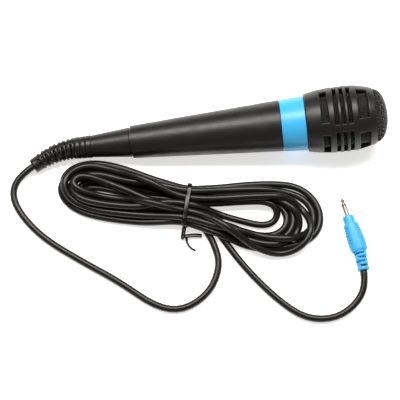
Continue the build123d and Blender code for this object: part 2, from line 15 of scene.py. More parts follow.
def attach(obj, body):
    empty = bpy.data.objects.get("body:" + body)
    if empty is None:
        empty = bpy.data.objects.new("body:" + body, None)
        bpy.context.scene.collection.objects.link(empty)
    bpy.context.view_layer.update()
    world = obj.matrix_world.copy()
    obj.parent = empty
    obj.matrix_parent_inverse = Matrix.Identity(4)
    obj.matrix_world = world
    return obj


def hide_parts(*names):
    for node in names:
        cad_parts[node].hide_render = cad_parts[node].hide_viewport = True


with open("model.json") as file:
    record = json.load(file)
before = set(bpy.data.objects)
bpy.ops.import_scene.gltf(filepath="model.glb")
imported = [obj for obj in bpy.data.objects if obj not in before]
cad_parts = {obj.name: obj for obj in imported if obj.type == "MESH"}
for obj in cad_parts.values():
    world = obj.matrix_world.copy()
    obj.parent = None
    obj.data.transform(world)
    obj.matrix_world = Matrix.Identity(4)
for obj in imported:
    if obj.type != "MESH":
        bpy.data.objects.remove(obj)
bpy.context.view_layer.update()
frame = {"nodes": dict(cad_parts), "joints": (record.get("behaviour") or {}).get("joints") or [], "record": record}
NODES = frame["nodes"]
JOINTS = {joint["name"]: joint for joint in frame["joints"]}
MOUNTS = {mount["name"]: mount for mount in frame["record"]["mounts"]}
MM = 0.001

# ---------------------------------------------------------------- places read from the frame
MIC_AXIS = Vector(JOINTS["tail_twist"]["axis"]).normalized()
MIC_ORIGIN = Vector(JOINTS["tail_twist"]["pos_m"])
PIN_AXIS = Vector(MOUNTS["jack_sleeve"]["axis"]).normalized()
PIN_MIDDLE = 4.6
PIN_ROOT = Vector(MOUNTS["jack_sleeve"]["pos_m"]) - PIN_AXIS * PIN_MIDDLE * MM


def along(origin, axis, side):
    """Matrix from millimetres along an axis to metres in the frame."""
    up = axis.cross(side)
    turn = Matrix((axis, side, up)).transposed().to_4x4()
    return Matrix.Translation(origin) @ turn @ Matrix.Scale(MM, 4)


MICROPHONE = along(MIC_ORIGIN, MIC_AXIS, Vector((0, 1, 0)))
PLUG = along(PIN_ROOT, PIN_AXIS, Vector((0, 0, 1)).cross(PIN_AXIS))

# ---------------------------------------------------------------- the cord
CORD_DIAMETER = 5.4
CORD_RADIUS = CORD_DIAMETER / 2
JACKET_END = -22.0           # s where the jacket ends, inside the tail cap
BOOT_CORNER = -57.0          # s where the boot's two straight lines would meet
LEAD_ROUTE = [
    (-146.4, -16.4, 5.2),
    (-153.5, -31.0, 3.6),
    (-147.0, -48.0, 2.75),
    (-130.5, -68.0, 2.75),
    (-103.0, -88.0, 2.75),
    (-76.0, -106.0, 2.75),
    (-50.5, -127.5, 2.75),
    (-30.0, -132.0, 2.75),
    (-9.0, -120.0, 2.75),
    (0.5, -100.0, 2.75),
    (-2.5, -83.5, 2.75),
    (-9.0, -69.5, 2.75),
]
TAIL_ROUTE = [
    (1.0, -74.0, 2.75),
    (17.5, -102.0, 2.75),
    (40.0, -129.5, 2.75),
    (60.5, -146.5, 2.75),
    (83.5, -148.0, 2.75),
    (101.0, -137.0, 3.5),
    (108.0, -122.5, 5.3),
    (107.0, -109.5, 5.3),
]
HANK_CENTRE = (-20.6, -52.7)
HANK_HEADING = -12.0
LAYERS = (2.75, 7.3, 11.9)   # heights of the three layers of strands under the tie
# strands under the tie, in the order of winding: place across the hank, layer
STRANDS = [
    (-10.2, 0), (10.2, 0), (0.0, 0), (5.1, 0),
    (-7.5, 1), (12.5, 1), (-12.5, 1), (7.5, 1),
    (-2.5, 1), (2.5, 1), (0.3, 2), (10.2, 2),
    (-10.2, 2), (5.2, 2), (-4.8, 2), (-5.1, 0),
]
# loops in the order of winding: reach, places of the widest upper and lower edge, those edges, fullness
LEFT_LOOPS = [
    (93.0, 72.0, 50.0, 17.0, -11.0, 0.5),
    (84.5, 76.5, 75.5, 12.0, -3.5, 0.3),
    (97.5, 70.0, 50.0, 26.0, -8.0, 0.4),
    (97.0, 80.0, 50.0, 19.5, -15.0, 0.5),
    (80.5, 73.5, 73.0, 7.5, -6.5, 0.3),
    (90.5, 74.0, 60.0, 15.5, -7.5, 0.4),
    (95.0, 78.0, 55.0, 22.5, -12.0, 0.4),
    (89.0, 82.0, 81.5, 13.0, 0.0, 0.2),
]
RIGHT_LOOPS = [
    (82.0, 60.0, 58.0, 16.5, -22.0, 0.3),
    (78.0, 61.0, 58.0, 12.0, -15.5, 0.3),
    (101.5, 76.0, 62.0, 26.5, -24.0, 0.8),
    (86.0, 66.0, 62.0, 14.0, -22.0, 0.3),
    (69.5, 60.0, 60.0, 11.4, -7.0, 0.3),
    (97.5, 74.0, 70.0, 20.5, -18.0, 0.5),
    (95.5, 70.0, 68.0, 14.0, -27.5, 0.0),
]
LOOP_STEPS = 12
LEVEL_STEP = 4.0             # height from one loop to the next before the hank settles
SETTLE_STEPS = 420
STEPS_PER_SEARCH = 8         # steps between searches for strands that are near each other
STRAND_GAP = 5.4
STRAND_SPACING = 4.0
TIE_REACH = 5.0              # half of the length of the hank that the tie holds
HELD_IN_TIE = 0.1            # shares of the way home that one step brings a point
HELD_IN_LOOP = 0.12
FALL = 0.3
PUSH = (0.22, 0.22, 0.45)    # shares of an overlap that one step undoes, more of it upwards
STIFF_PASSES = 2
STIFFNESS = 0.6
LAST_PASSES = 8
LAST_STIFFNESS = 0.5
FLOOR_PLAY = 0.05


def ease(t, fullness):
    """From 0 to 1: an S curve, or with fullness a quarter of a sine that leaves at an angle."""
    return (1 - fullness) * t * t * (3 - 2 * t) + fullness * sin(t * pi / 2)


def loop_points(side, row, start, end, level):
    """One loop of the hank, from one strand's place at the tie to the next one's, before it settles.

    It runs out along one edge, round an oval end at the loop's own level, and back along the other edge."""
    reach, upper_place, lower_place, upper, lower, fullness = row
    first, last = ((upper_place, upper), (lower_place, lower))[::side]
    middle = (upper + lower) / 2
    points = []
    for step in range(LOOP_STEPS):
        t = step / LOOP_STEPS
        points.append((side * first[0] * t, start[0] + (first[1] - start[0]) * ease(t, fullness),
                       start[1] + (level - start[1]) * ease(t, 0)))
    for step in range(LOOP_STEPS + 1):
        angle = pi * step / LOOP_STEPS
        base = first[0] + (last[0] - first[0]) * step / LOOP_STEPS
        points.append((side * (base + (reach - base) * sin(angle)),
                       middle + (first[1] - middle) * cos(angle), level))
    for step in range(LOOP_STEPS - 1, 0, -1):
        t = step / LOOP_STEPS
        points.append((side * last[0] * t, end[0] + (last[1] - end[0]) * ease(t, fullness),
                       end[1] + (level - end[1]) * ease(t, 0)))
    return points


def hank_draft():
    """Points (u, v, w) of all turns in the hank's own axes, each loop at a level of its own."""
    strands = [(across, LAYERS[layer]) for across, layer in STRANDS]
    loops = [(side, rows[turn], turn) for turn in range(len(LEFT_LOOPS))
             for side, rows in ((-1, LEFT_LOOPS), (1, RIGHT_LOOPS)) if turn < len(rows)]
    points = []
    for (side, row, turn), start, end in zip(loops, strands, strands[1:]):
        points += loop_points(side, row, start, end, LAYERS[0] + LEVEL_STEP * turn)
    return np.array(points + [(0.0, *strands[-1])])


def to_hank(point):
    """A point of the frame in the hank's own axes."""
    dx, dy = point[0] - HANK_CENTRE[0], point[1] - HANK_CENTRE[1]
    c, s = cos(radians(HANK_HEADING)), sin(radians(HANK_HEADING))
    return (dx * c + dy * s, -dx * s + dy * c, point[2])


def from_hank(points):
    """Points in the hank's own axes brought to the frame."""
    c, s = cos(radians(HANK_HEADING)), sin(radians(HANK_HEADING))
    u, v, w = np.asarray(points).T
    return np.stack([HANK_CENTRE[0] + u * c - v * s, HANK_CENTRE[1] + u * s + v * c, w], axis=1)


def resample(points, spacing):
    """The same line with evenly spaced points."""
    steps = np.linalg.norm(np.diff(points, axis=0), axis=1)
    places = np.concatenate([[0], np.cumsum(steps)])
    count = int(round(places[-1] / spacing))
    wanted = np.linspace(0, places[-1], count + 1)
    return np.stack([np.interp(wanted, places, points[:, axis]) for axis in range(3)], axis=1)


def close_pairs(points, reach):
    """Pairs of points of different strands that are within reach of each other."""
    offset = points[:, None, :] - points[None, :, :]
    near = (offset ** 2).sum(axis=2) < reach ** 2
    return np.nonzero(np.triu(near, k=5))


def push_apart(points, pairs, loose, gap):
    """Move points of different strands away from each other until they are a gap apart."""
    first, second = pairs
    offset = points[first] - points[second]
    distance = np.linalg.norm(offset, axis=1) + 1e-9
    overlap = np.clip(gap - distance, 0, None)
    move = offset * (overlap / distance)[:, None] * PUSH
    total = np.zeros_like(points)
    np.add.at(total, first, move)
    np.add.at(total, second, -move)
    points += total * loose


def stiffen(points, loose, amount):
    """Spread bends out along the cord, as a springy jacket does."""
    middle = points[2:-2]
    fourth = points[:-4] - 4 * points[1:-3] + 6 * middle - 4 * points[3:-1] + points[4:]
    middle -= amount / 6 * fourth * loose[2:-2]


def settle(points, first, last):
    """Let the turns fall on to the surface and on to each other, with the tie round their middle."""
    home = points.copy()
    loose = np.ones((len(points), 1))
    loose[:first] = 0
    loose[-last:] = 0
    tied = np.abs(points[:, 0]) < TIE_REACH
    held = np.where(tied, HELD_IN_TIE, HELD_IN_LOOP)[:, None] * loose
    for step in range(SETTLE_STEPS):
        if step % STEPS_PER_SEARCH == 0:
            pairs = close_pairs(points, 2 * STRAND_GAP)
        slow = 1 - step / SETTLE_STEPS
        points[:, 2] -= FALL * (0.2 + 0.8 * slow) * loose[:, 0] * ~tied
        points[:, :2] += held * (home - points)[:, :2]
        points[:, 2] += np.where(tied, HELD_IN_TIE * (home - points)[:, 2], 0)
        for _ in range(STIFF_PASSES):
            stiffen(points, loose, STIFFNESS)
        push_apart(points, pairs, loose, STRAND_GAP)
        lowest = np.where(loose[:, 0] > 0, CORD_RADIUS + FLOOR_PLAY, -1)
        points[:, 2] = np.maximum(points[:, 2], lowest)
    for _ in range(LAST_PASSES):
        stiffen(points, loose, LAST_STIFFNESS)
    return points


def hank_turns():
    """The settled turns between the two free stretches, in the frame.

    The last run of each free stretch stays where it is, and the turns settle round and over it."""
    enter = np.array([to_hank(p) for p in LEAD_ROUTE[-2:]])
    leave = np.array([to_hank(p) for p in TAIL_ROUTE[:2]])
    line = resample(np.vstack([enter, hank_draft(), leave]), STRAND_SPACING)
    fixed = [round(np.linalg.norm(run[1] - run[0]) / STRAND_SPACING) + 1 for run in (enter, leave)]
    return from_hank(settle(line, *fixed))[fixed[0]:-fixed[1]]


def cord_line():
    """All control points of the cord, in millimetres."""
    start = [MICROPHONE @ Vector((s, 0, 0)) / MM for s in (JACKET_END, BOOT_CORNER)]
    return [tuple(p) for p in start] + LEAD_ROUTE + [tuple(p) for p in hank_turns()] + TAIL_ROUTE


def add_cord(points):
    """One smooth NURBS line with a round section."""
    curve = bpy.data.curves.new("cord", "CURVE")
    curve.dimensions = "3D"
    curve.bevel_depth = CORD_RADIUS * MM
    curve.bevel_resolution = 5
    curve.resolution_u = 4
    spline = curve.splines.new("NURBS")
    spline.points.add(len(points) - 1)
    for control, point in zip(spline.points, points):
        control.co = (point[0] * MM, point[1] * MM, point[2] * MM, 1)
    spline.order_u = 3
    spline.use_endpoint_u = True
    cord = bpy.data.objects.new("cord", curve)
    bpy.context.scene.collection.objects.link(cord)
    return cord


# ---------------------------------------------------------------- mesh helpers
WELD_REACH = 2e-6            # metres
BEVEL_SEGMENTS = 3
BEVEL_ANGLE = 35


def add_mesh(name, vertices, faces, matrix=Matrix.Identity(4)):
    """A smooth-shaded mesh object from points in a matrix's own axes, with its normals outward."""
    mesh = bpy.data.meshes.new(name)
    mesh.from_pydata([tuple(matrix @ Vector(v)) for v in vertices], [], faces)
    work = bmesh.new()
    work.from_mesh(mesh)
    bmesh.ops.remove_doubles(work, verts=work.verts, dist=1e-7)
    bmesh.ops.recalc_face_normals(work, faces=work.faces)
    work.to_mesh(mesh)
    work.free()
    mesh.polygons.foreach_set("use_smooth", [True] * len(mesh.polygons))
    piece = bpy.data.objects.new(name, mesh)
    bpy.context.scene.collection.objects.link(piece)
    return piece


def grid_faces(rows, columns, wrap_rows=False):
    """Quads between rows of points whose columns run round in a ring."""
    last = rows if wrap_rows else rows - 1
    return [(i * columns + j, i * columns + (j + 1) % columns,
             (i + 1) % rows * columns + (j + 1) % columns, (i + 1) % rows * columns + j)
            for i in range(last) for j in range(columns)]


def skin(name, stations, ring, place, matrix, columns=96):
    """A skin round a line: ring(t, angle) is (across, up) at a station, and place(t) its matrix."""
    vertices = []
    for station in stations:
        here = place(station)
        for column in range(columns):
            across, up = ring(station, 2 * pi * column / columns)
            vertices.append(here @ Vector((0, across, up)))
    return add_mesh(name, vertices, grid_faces(len(stations), columns), matrix)


def rounded(points, radius, steps=4):
    """An outline with an arc at each inner corner."""
    done = [Vector(points[0])]
    for before, corner, after in zip(points, points[1:], points[2:]):
        corner, into, out = Vector(corner), Vector(before) - Vector(corner), Vector(after) - Vector(corner)
        reach = min(radius, 0.45 * into.length, 0.45 * out.length)
        start, end = corner + into.normalized() * reach, corner + out.normalized() * reach
        for step in range(steps + 1):
            t = step / steps
            done.append(start * (1 - t) ** 2 + corner * 2 * t * (1 - t) + end * t ** 2)
    return done + [Vector(points[-1])]


def spun(name, outline, matrix, columns=128):
    """An outline of (s, radius) points spun about the X axis."""
    vertices = []
    for s, radius in outline:
        for column in range(columns):
            angle = 2 * pi * column / columns
            vertices.append((s, radius * cos(angle), radius * sin(angle)))
    return add_mesh(name, vertices, grid_faces(len(outline), columns), matrix)


def join(name, pieces):
    """One object from several meshes, welded where they meet."""
    work = bmesh.new()
    for piece in pieces:
        work.from_mesh(piece.data)
        bpy.data.objects.remove(piece)
    bmesh.ops.remove_doubles(work, verts=work.verts, dist=WELD_REACH)
    mesh = bpy.data.meshes.new(name)
    work.to_mesh(mesh)
    work.free()
    mesh.polygons.foreach_set("use_smooth", [True] * len(mesh.polygons))
    piece = bpy.data.objects.new(name, mesh)
    bpy.context.scene.collection.objects.link(piece)
    return piece


def smooth_step(low, high, x):
    """0 below low, 1 above high, and a smooth rise between them."""
    t = min(max((x - low) / (high - low), 0), 1)
    return t * t * (3 - 2 * t)


def reading(table, place):
    """Straight-line reading of a table of (place, value) pairs in rising order."""
    return float(np.interp(place, [p for p, value in table], [value for p, value in table]))


def bevel(piece, width):
    """Round the sharp edges of a piece."""
    modifier = piece.modifiers.new("rounded edges", "BEVEL")
    modifier.width = width * MM
    modifier.segments = BEVEL_SEGMENTS
    modifier.limit_method = "ANGLE"
    modifier.angle_limit = radians(BEVEL_ANGLE)
    modifier.harden_normals = True


# ---------------------------------------------------------------- coloured band
RING_START, RING_END = 114.8, 133.0
RING_REAR_RADIUS, RING_FRONT_RADIUS = 19.7, 20.9
RING_INNER = 17.55
RING_ROUNDING = 0.45


def make_band():
    """The coloured band, with soft edges."""
    outline = [(RING_START, RING_INNER), (RING_START, RING_REAR_RADIUS), (RING_END, RING_FRONT_RADIUS),
               (RING_END, RING_INNER), (RING_START, RING_INNER)]
    band = spun("band", rounded(outline, RING_ROUNDING), MICROPHONE)
    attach(band, "ring")
    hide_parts("colour_ring")
    return band


# ---------------------------------------------------------------- head housing
HEAD_START, HEAD_END = 133.3, 185.4
HEAD_REAR_ARC = ((134.35, 22.2), (145.5, 24.15), (157.0, 25.0))
HEAD_FRONT_ARC = ((157.0, 25.0), (172.0, 24.4), (185.4, 21.0))
HEAD_WALL = 2.35
HEAD_ROUNDING = 0.8
HEAD_ROW_STEP = 1.3
# windows of one group: start, end, half width in degrees
WINDOWS = [(144.8, 150.0, 33), (154.6, 157.4, 38), (159.7, 162.5, 38), (164.8, 167.6, 38), (172.5, 180.3, 31)]
WINDOW_TURN = 11
WINDOW_HALVES = (31, 33, 38)
WINDOW_COLUMNS = 16
FIN_START, FIN_STEP, FIN_ROWS = 144.5, 2.5, 15
FIN_INNER = 19.98
FIN_HALVES = (0.9, 1.2)      # half thickness at the basket and at the wall
FIN_SINK = 0.5               # how far a fin goes into the wall


def through(three, place):
    """The parabola through three points."""
    total = 0
    for i, (p, value) in enumerate(three):
        share = 1
        for j, (q, _) in enumerate(three):
            if i != j:
                share *= (place - q) / (p - q)
        total += value * share
    return total


def head_radius(s):
    """Outer radius of the head's housing."""
    return through(HEAD_REAR_ARC if s < HEAD_FRONT_ARC[0][0] else HEAD_FRONT_ARC, s)


def head_places():
    """Rows of the housing's mesh: the windows' edges, and even steps between them."""
    edges = [HEAD_START] + [edge for start, end, _ in WINDOWS for edge in (start, end)] + [HEAD_END]
    places = [edges[0]]
    for low, high in zip(edges, edges[1:]):
        count = max(1, round((high - low) / HEAD_ROW_STEP))
        places += [low + (high - low) * step / count for step in range(1, count + 1)]
    return places


def head_angles():
    """Columns of the housing's mesh, in degrees from straight up: the windows' sides, and steps between."""
    quarter = [-WINDOW_HALVES[0] + 2 * WINDOW_HALVES[0] * step / WINDOW_COLUMNS
               for step in range(WINDOW_COLUMNS + 1)]
    quarter += [WINDOW_HALVES[1], 35.5, WINDOW_HALVES[2], 41.5, 45, 48.5, 52, 54.5, 57]
    return [WINDOW_TURN + 90 * group + angle for group in range(4) for angle in quarter]


def make_housing():
    """The moulded cage with its four groups of windows, as a wall with rounded edges."""
    places, angles = head_places(), head_angles()
    vertices = []
    for s in places:
        radius = head_radius(s)
        for angle in angles:
            vertices.append((s, radius * sin(radians(angle)), radius * cos(radians(angle))))
    columns = len(angles)
    faces = []
    for i, (low, high) in enumerate(zip(places, places[1:])):
        middle = (low + high) / 2
        halves = [half for start, end, half in WINDOWS if start < middle < end]
        for j in range(columns):
            after = angles[(j + 1) % columns] + (360 if j == columns - 1 else 0)
            turn = ((angles[j] + after) / 2 - WINDOW_TURN + 45) % 90 - 45
            if halves and abs(turn) < halves[0]:
                continue
            k = (j + 1) % columns
            faces.append((i * columns + j, i * columns + k, (i + 1) * columns + k, (i + 1) * columns + j))
    housing = add_mesh("housing", vertices, faces, MICROPHONE)
    wall = housing.modifiers.new("wall", "SOLIDIFY")
    wall.thickness = HEAD_WALL * MM
    wall.offset = -1
    wall.use_even_offset = True
    bevel(housing, HEAD_ROUNDING)
    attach(housing, "head")
    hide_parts("head_housing")
    return housing


def make_fins():
    """Four fins inside the housing, between the groups of windows, that centre the basket."""
    vertices, faces = [], []
    thin, thick = FIN_HALVES
    for group in range(4):
        turn = Matrix.Rotation(-radians(WINDOW_TURN + 45 + 90 * group), 4, "X")
        base = len(vertices)
        for row in range(FIN_ROWS):
            s = FIN_START + FIN_STEP * row
            outer = head_radius(s) - HEAD_WALL + FIN_SINK
            for across, radius in ((-thin, FIN_INNER), (thin, FIN_INNER), (thick, outer), (-thick, outer)):
                vertices.append(turn @ Vector((s, across, radius)))
        faces += [tuple(base + k for k in face) for face in grid_faces(FIN_ROWS, 4)]
        faces += [(base, base + 1, base + 2, base + 3), tuple(len(vertices) - 4 + k for k in range(4))]
    fins = add_mesh("housing_fins", vertices, faces, MICROPHONE)
    fins.data.polygons.foreach_set("use_smooth", [False] * len(fins.data.polygons))
    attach(fins, "head")
    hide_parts("head_housing")
    return fins


# ---------------------------------------------------------------- woven wire basket
BASKET_RADIUS = 19.5
BASKET_START = 144.2
DOME_START, DOME_APEX = 185.6, 194.6
WIRE_SIDES = 4
WIRE_RADIUS = 0.4            # the dome's wires, their pitch, and how far they weave in and out
WIRE_PITCH = 2.05
WEAVE = 0.4
WALL_WIRE = 0.24             # the same for the wall
WALL_PITCH = 1.15
WALL_WEAVE = 0.22


def wire(vertices, faces, points, radius, closed=False):
    """Add a thin tube along points to a list of vertices and faces."""
    base = len(vertices)
    count = len(points)
    for index, point in enumerate(points):
        before = points[index - 1] if index or closed else point
        after = points[(index + 1) % count] if index < count - 1 or closed else point
        along_wire = (after - before).normalized()
        side = along_wire.cross(Vector((1, 0.01, 0.02))).normalized()
        if abs(along_wire.x) > 0.8:
            side = along_wire.cross(point - Vector((point.x, 0, 0))).normalized()
        up = along_wire.cross(side)
        for corner in range(WIRE_SIDES):
            angle = 2 * pi * corner / WIRE_SIDES
            vertices.append(point + (side * cos(angle) + up * sin(angle)) * radius)
    faces += [tuple(base + k for k in face) for face in grid_faces(count, WIRE_SIDES, closed)]


def dome_point(y, z, lift):
    """A point of the basket's dome, lifted along its outward normal."""
    rise = DOME_APEX - DOME_START
    height = sqrt(max(1 - (y * y + z * z) / BASKET_RADIUS ** 2, 0))
    outward = Vector((height * BASKET_RADIUS / rise, y / BASKET_RADIUS, z / BASKET_RADIUS)).normalized()
    return Vector((DOME_START + rise * height, y, z)) + outward * lift


def make_basket():
    """Woven wire: a square weave over the dome, and rings and straight wires round the wall."""
    vertices, faces = [], []
    lines = int(BASKET_RADIUS / WIRE_PITCH)
    for family in (0, 1):
        for line in range(-lines, lines + 1):
            place = line * WIRE_PITCH
            reach = sqrt(BASKET_RADIUS ** 2 - place ** 2)
            steps = max(4, int(2 * reach / WIRE_PITCH * 3))
            points = []
            for step in range(steps + 1):
                run = -reach + 2 * reach * step / steps
                lift = WEAVE * cos(pi * run / WIRE_PITCH + pi * line) * (1 if family else -1)
                y, z = (place, run) if family else (run, place)
                points.append(dome_point(y, z, lift))
            wire(vertices, faces, points, WIRE_RADIUS)
    around = 2 * round(pi * BASKET_RADIUS / WALL_PITCH)
    rings = int((DOME_START - BASKET_START) / WALL_PITCH)
    for line in range(around):
        angle = 2 * pi * line / around
        points = []
        for step in range(2 * rings + 1):
            radius = BASKET_RADIUS + WALL_WEAVE * cos(pi * step / 2 + pi * line)
            place = BASKET_START + step * WALL_PITCH / 2
            points.append(Vector((place, radius * cos(angle), radius * sin(angle))))
        wire(vertices, faces, points, WALL_WIRE)
    for ring in range(rings + 1):
        points = []
        for step in range(2 * around):
            angle = pi * step / around
            radius = BASKET_RADIUS - WALL_WEAVE * cos(pi * step / 2 + pi * ring)
            place = BASKET_START + ring * WALL_PITCH
            points.append(Vector((place, radius * cos(angle), radius * sin(angle))))
        wire(vertices, faces, points, WALL_WIRE, closed=True)
    basket = add_mesh("basket", vertices, faces, MICROPHONE)
    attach(basket, "head")
    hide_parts("mesh_basket")
    return basket


# ---------------------------------------------------------------- boot
BOOT_BEND = 28.5
BEND_SHARE = 0.45            # share of the way to the corner that the bend takes up
CAP_START = -31.0
BOOT_LENGTH = 48.4
BOOT_END_RADIUS = 5.25
BOOT_OUTLINE = [(0.0, 8.45), (0.35, 8.75), (13.0, 8.25), (27.0, 7.4), (42.7, 6.2), (43.3, 5.85), (48.0, 5.6),
                (BOOT_LENGTH, BOOT_END_RADIUS)]
BOOT_GROOVES = (4.2, 8.5, 12.8)
GROOVE_DEPTH = 0.6
GROOVE_STEPS = (-0.45, -0.32, -0.2, -0.08, 0.08, 0.2, 0.32, 0.45)
BOOT_CORE = 3.9
BOOT_SLOTS = [(15.4 + 3.36 * index, -60 + 90 * (index % 2)) for index in range(9)]
SLOT_HALF_WIDTH = 0.72
SLOT_HALF_ANGLE = 68
NECK = 5.2                   # radius inside the tail cap
FLANGE = 6.8
FLANGE_FRONT = -2.25
BORE = 2.82


def boot_place(distance):
    """Where the boot's line is: straight out of the cap, one arc, straight again."""
    first = JACKET_END - BOOT_CORNER
    tangent = BEND_SHARE * first
    bend = radians(BOOT_BEND)
    radius = tangent / tan(bend / 2)
    straight = CAP_START - BOOT_CORNER - tangent
    angle = min(max((distance - straight) / radius, 0), bend)
    before = min(distance, straight)
    after = max(distance - straight - radius * bend, 0)
    x = CAP_START - before - radius * sin(angle) - after * cos(angle)
    y = -radius * (1 - cos(angle)) - after * sin(angle)
    return Matrix.Translation((x, y, 0)) @ Matrix.Rotation(angle, 4, "Z")


def slot_cut(distance, angle, slots, half_width, half_angle):
    """How deep a slotted skin is cut at a place: 0 on the ribs, 1 in a slot."""
    cut = 0
    for place, lean in slots:
        off = abs(distance - place)
        if off > half_width + 0.3:
            continue
        turn = degrees(angle) - 90 + lean
        side = abs((turn + 90) % 180 - 90)
        deep = 1 - smooth_step(half_width - 0.12, half_width + 0.14, off)
        cut = max(cut, deep * (1 - smooth_step(half_angle - 3, half_angle + 4, side)))
    return cut


def boot_ring(distance, angle):
    """Across and up from the boot's line to its skin."""
    if distance < 0:
        radius = FLANGE if distance < FLANGE_FRONT else NECK
    else:
        outer = reading(BOOT_OUTLINE, distance)
        groove = max(1 - smooth_step(0.1, 0.42, abs(distance - place)) for place in BOOT_GROOVES)
        cut = slot_cut(distance, angle, BOOT_SLOTS, SLOT_HALF_WIDTH, SLOT_HALF_ANGLE)
        radius = outer - GROOVE_DEPTH * groove - (outer - BOOT_CORE) * cut
    return radius * cos(angle), radius * sin(angle)


def boot_end_ring(distance, angle):
    """Across and up to the collar's end face, which closes down to the bore."""
    radius = BOOT_END_RADIUS if distance == BOOT_LENGTH else BORE
    return radius * cos(angle), radius * sin(angle)


def slot_stations(slots, half_width):
    """Stations close together at the edges of each slot."""
    steps = (-0.22, -0.12, -0.04, 0.04, 0.14)
    return [place + side * (half_width - step) for place, _ in slots for side in (-1, 1) for step in steps]


def make_boot():
    """The strain relief: flange and neck inside the cap, three bands, slotted ribs, an end collar."""
    stations = [-4.15, -2.3, -2.2, -0.02, 0.0, 0.12, 0.35, 1.5, 2.9]
    stations += [place + step for place in BOOT_GROOVES for step in GROOVE_STEPS]
    stations += slot_stations(BOOT_SLOTS, SLOT_HALF_WIDTH) + [place for place, _ in BOOT_SLOTS]
    stations += [42.5, 42.7, 42.9, 43.1, 43.3, 45.0, 47.0, 48.0, 48.25, BOOT_LENGTH]
    outside = skin("boot", sorted(stations), boot_ring, boot_place, MICROPHONE)
    end = skin("boot_end", [BOOT_LENGTH, BOOT_LENGTH - 0.01, BOOT_LENGTH - 6], boot_end_ring,
               boot_place, MICROPHONE)
    boot = join("boot", [outside, end])
    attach(boot, "tail")
    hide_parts("cord_boot")
    return boot


# ---------------------------------------------------------------- plug
SHELL_LENGTH = 28.5
SHELL_WIDTH = [(0.0, 3.7), (0.35, 4.15), (0.7, 4.3), (6.1, 4.5), (6.7, 5.45), (7.3, 5.75), (14.0, 6.4),
               (22.0, 6.8), (27.9, 6.25), (28.3, 6.05), (SHELL_LENGTH, 5.6)]
SHELL_HEIGHT = [(0.0, 3.7), (0.35, 4.15), (0.7, 4.3), (6.1, 4.5), (6.7, 4.8), (7.3, 4.95), (14.0, 5.2),
                (22.0, 5.25), (27.9, 5.05), (28.3, 4.85), (SHELL_LENGTH, 4.5)]
GRIP_GROOVES = [10.0 + 1.9 * index for index in range(7)]
GRIP_STEPS = (-0.45, -0.3, -0.15, 0.0, 0.15, 0.3, 0.45)
GRIP_DEPTH = 0.55
PIN_BORE = 1.8
RELIEF_HEADING = 4.5
PLUG_HEADING = 12.0
RELIEF_LENGTH = 15.0
RELIEF_WIDTH = [(0.0, 4.8), (12.4, 4.3), (12.8, 4.55), (14.6, 4.55), (14.9, 4.35), (RELIEF_LENGTH, 4.1)]
RELIEF_SLOTS = [(2.1 + 3.2 * index, 35 - 70 * (index % 2)) for index in range(4)]
RELIEF_CORE = 2.4


def shell_ring(distance, angle):
    """Across and up from the plug's axis to its shell, with fine grip grooves on the two flanks."""
    flank = 1 - smooth_step(0.62, 0.86, abs(sin(angle)))
    groove = max(1 - smooth_step(0.12, 0.42, abs(distance - place)) for place in GRIP_GROOVES)
    shrink = GRIP_DEPTH * groove * flank
    return ((reading(SHELL_WIDTH, distance) - shrink) * cos(angle),
            (reading(SHELL_HEIGHT, distance) - shrink) * sin(angle))


def relief_ring(distance, angle):
    """Across and up from the relief's line to its skin."""
    outer = reading(RELIEF_WIDTH, distance)
    cut = slot_cut(distance, angle, RELIEF_SLOTS, SLOT_HALF_WIDTH, SLOT_HALF_ANGLE)
    radius = outer - (outer - RELIEF_CORE) * cut
    return radius * cos(angle), radius * sin(angle)


def closed(ring, length, inner):
    """A skin's ring with the two ends closed down to an inner radius."""
    def ends(distance, angle):
        if 0 <= distance <= length:
            return ring(distance, angle)
        return inner * cos(angle), inner * sin(angle)
    return ends


def backwards(distance):
    """Place of a distance behind a piece's front."""
    return Matrix.Translation((-distance, 0, 0))


def make_plug():
    """The moulded shell and its strain relief."""
    stations = [-0.01, 0.0, 0.15, 0.35, 0.7, 2.5, 4.5, 6.1, 6.3, 6.5, 6.7, 7.0, 7.3, 8.6, 9.3]
    stations += [place + step for place in GRIP_GROOVES for step in GRIP_STEPS]
    stations += [22.5, 24.0, 26.0, 27.9, 28.1, 28.3, 28.4, SHELL_LENGTH, SHELL_LENGTH + 0.01]
    shell = skin("plug_grip", sorted(stations), closed(shell_ring, SHELL_LENGTH, PIN_BORE), backwards, PLUG)
    stations = [-0.01, 0.0, 12.4, 12.6, 12.8, 13.7, 14.6, 14.75, 14.9, RELIEF_LENGTH, RELIEF_LENGTH + 0.01]
    stations += slot_stations(RELIEF_SLOTS, SLOT_HALF_WIDTH) + [place for place, _ in RELIEF_SLOTS]
    turn = Matrix.Rotation(radians(RELIEF_HEADING - PLUG_HEADING), 4, "Z")
    matrix = PLUG @ Matrix.Translation((-SHELL_LENGTH, 0, 0)) @ turn
    neck = skin("plug_boot", sorted(stations), closed(relief_ring, RELIEF_LENGTH, BORE), backwards, matrix)
    for piece, node in ((shell, "plug_shell"), (neck, "plug_relief")):
        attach(piece, "tail")
        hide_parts(node)
    return shell, neck


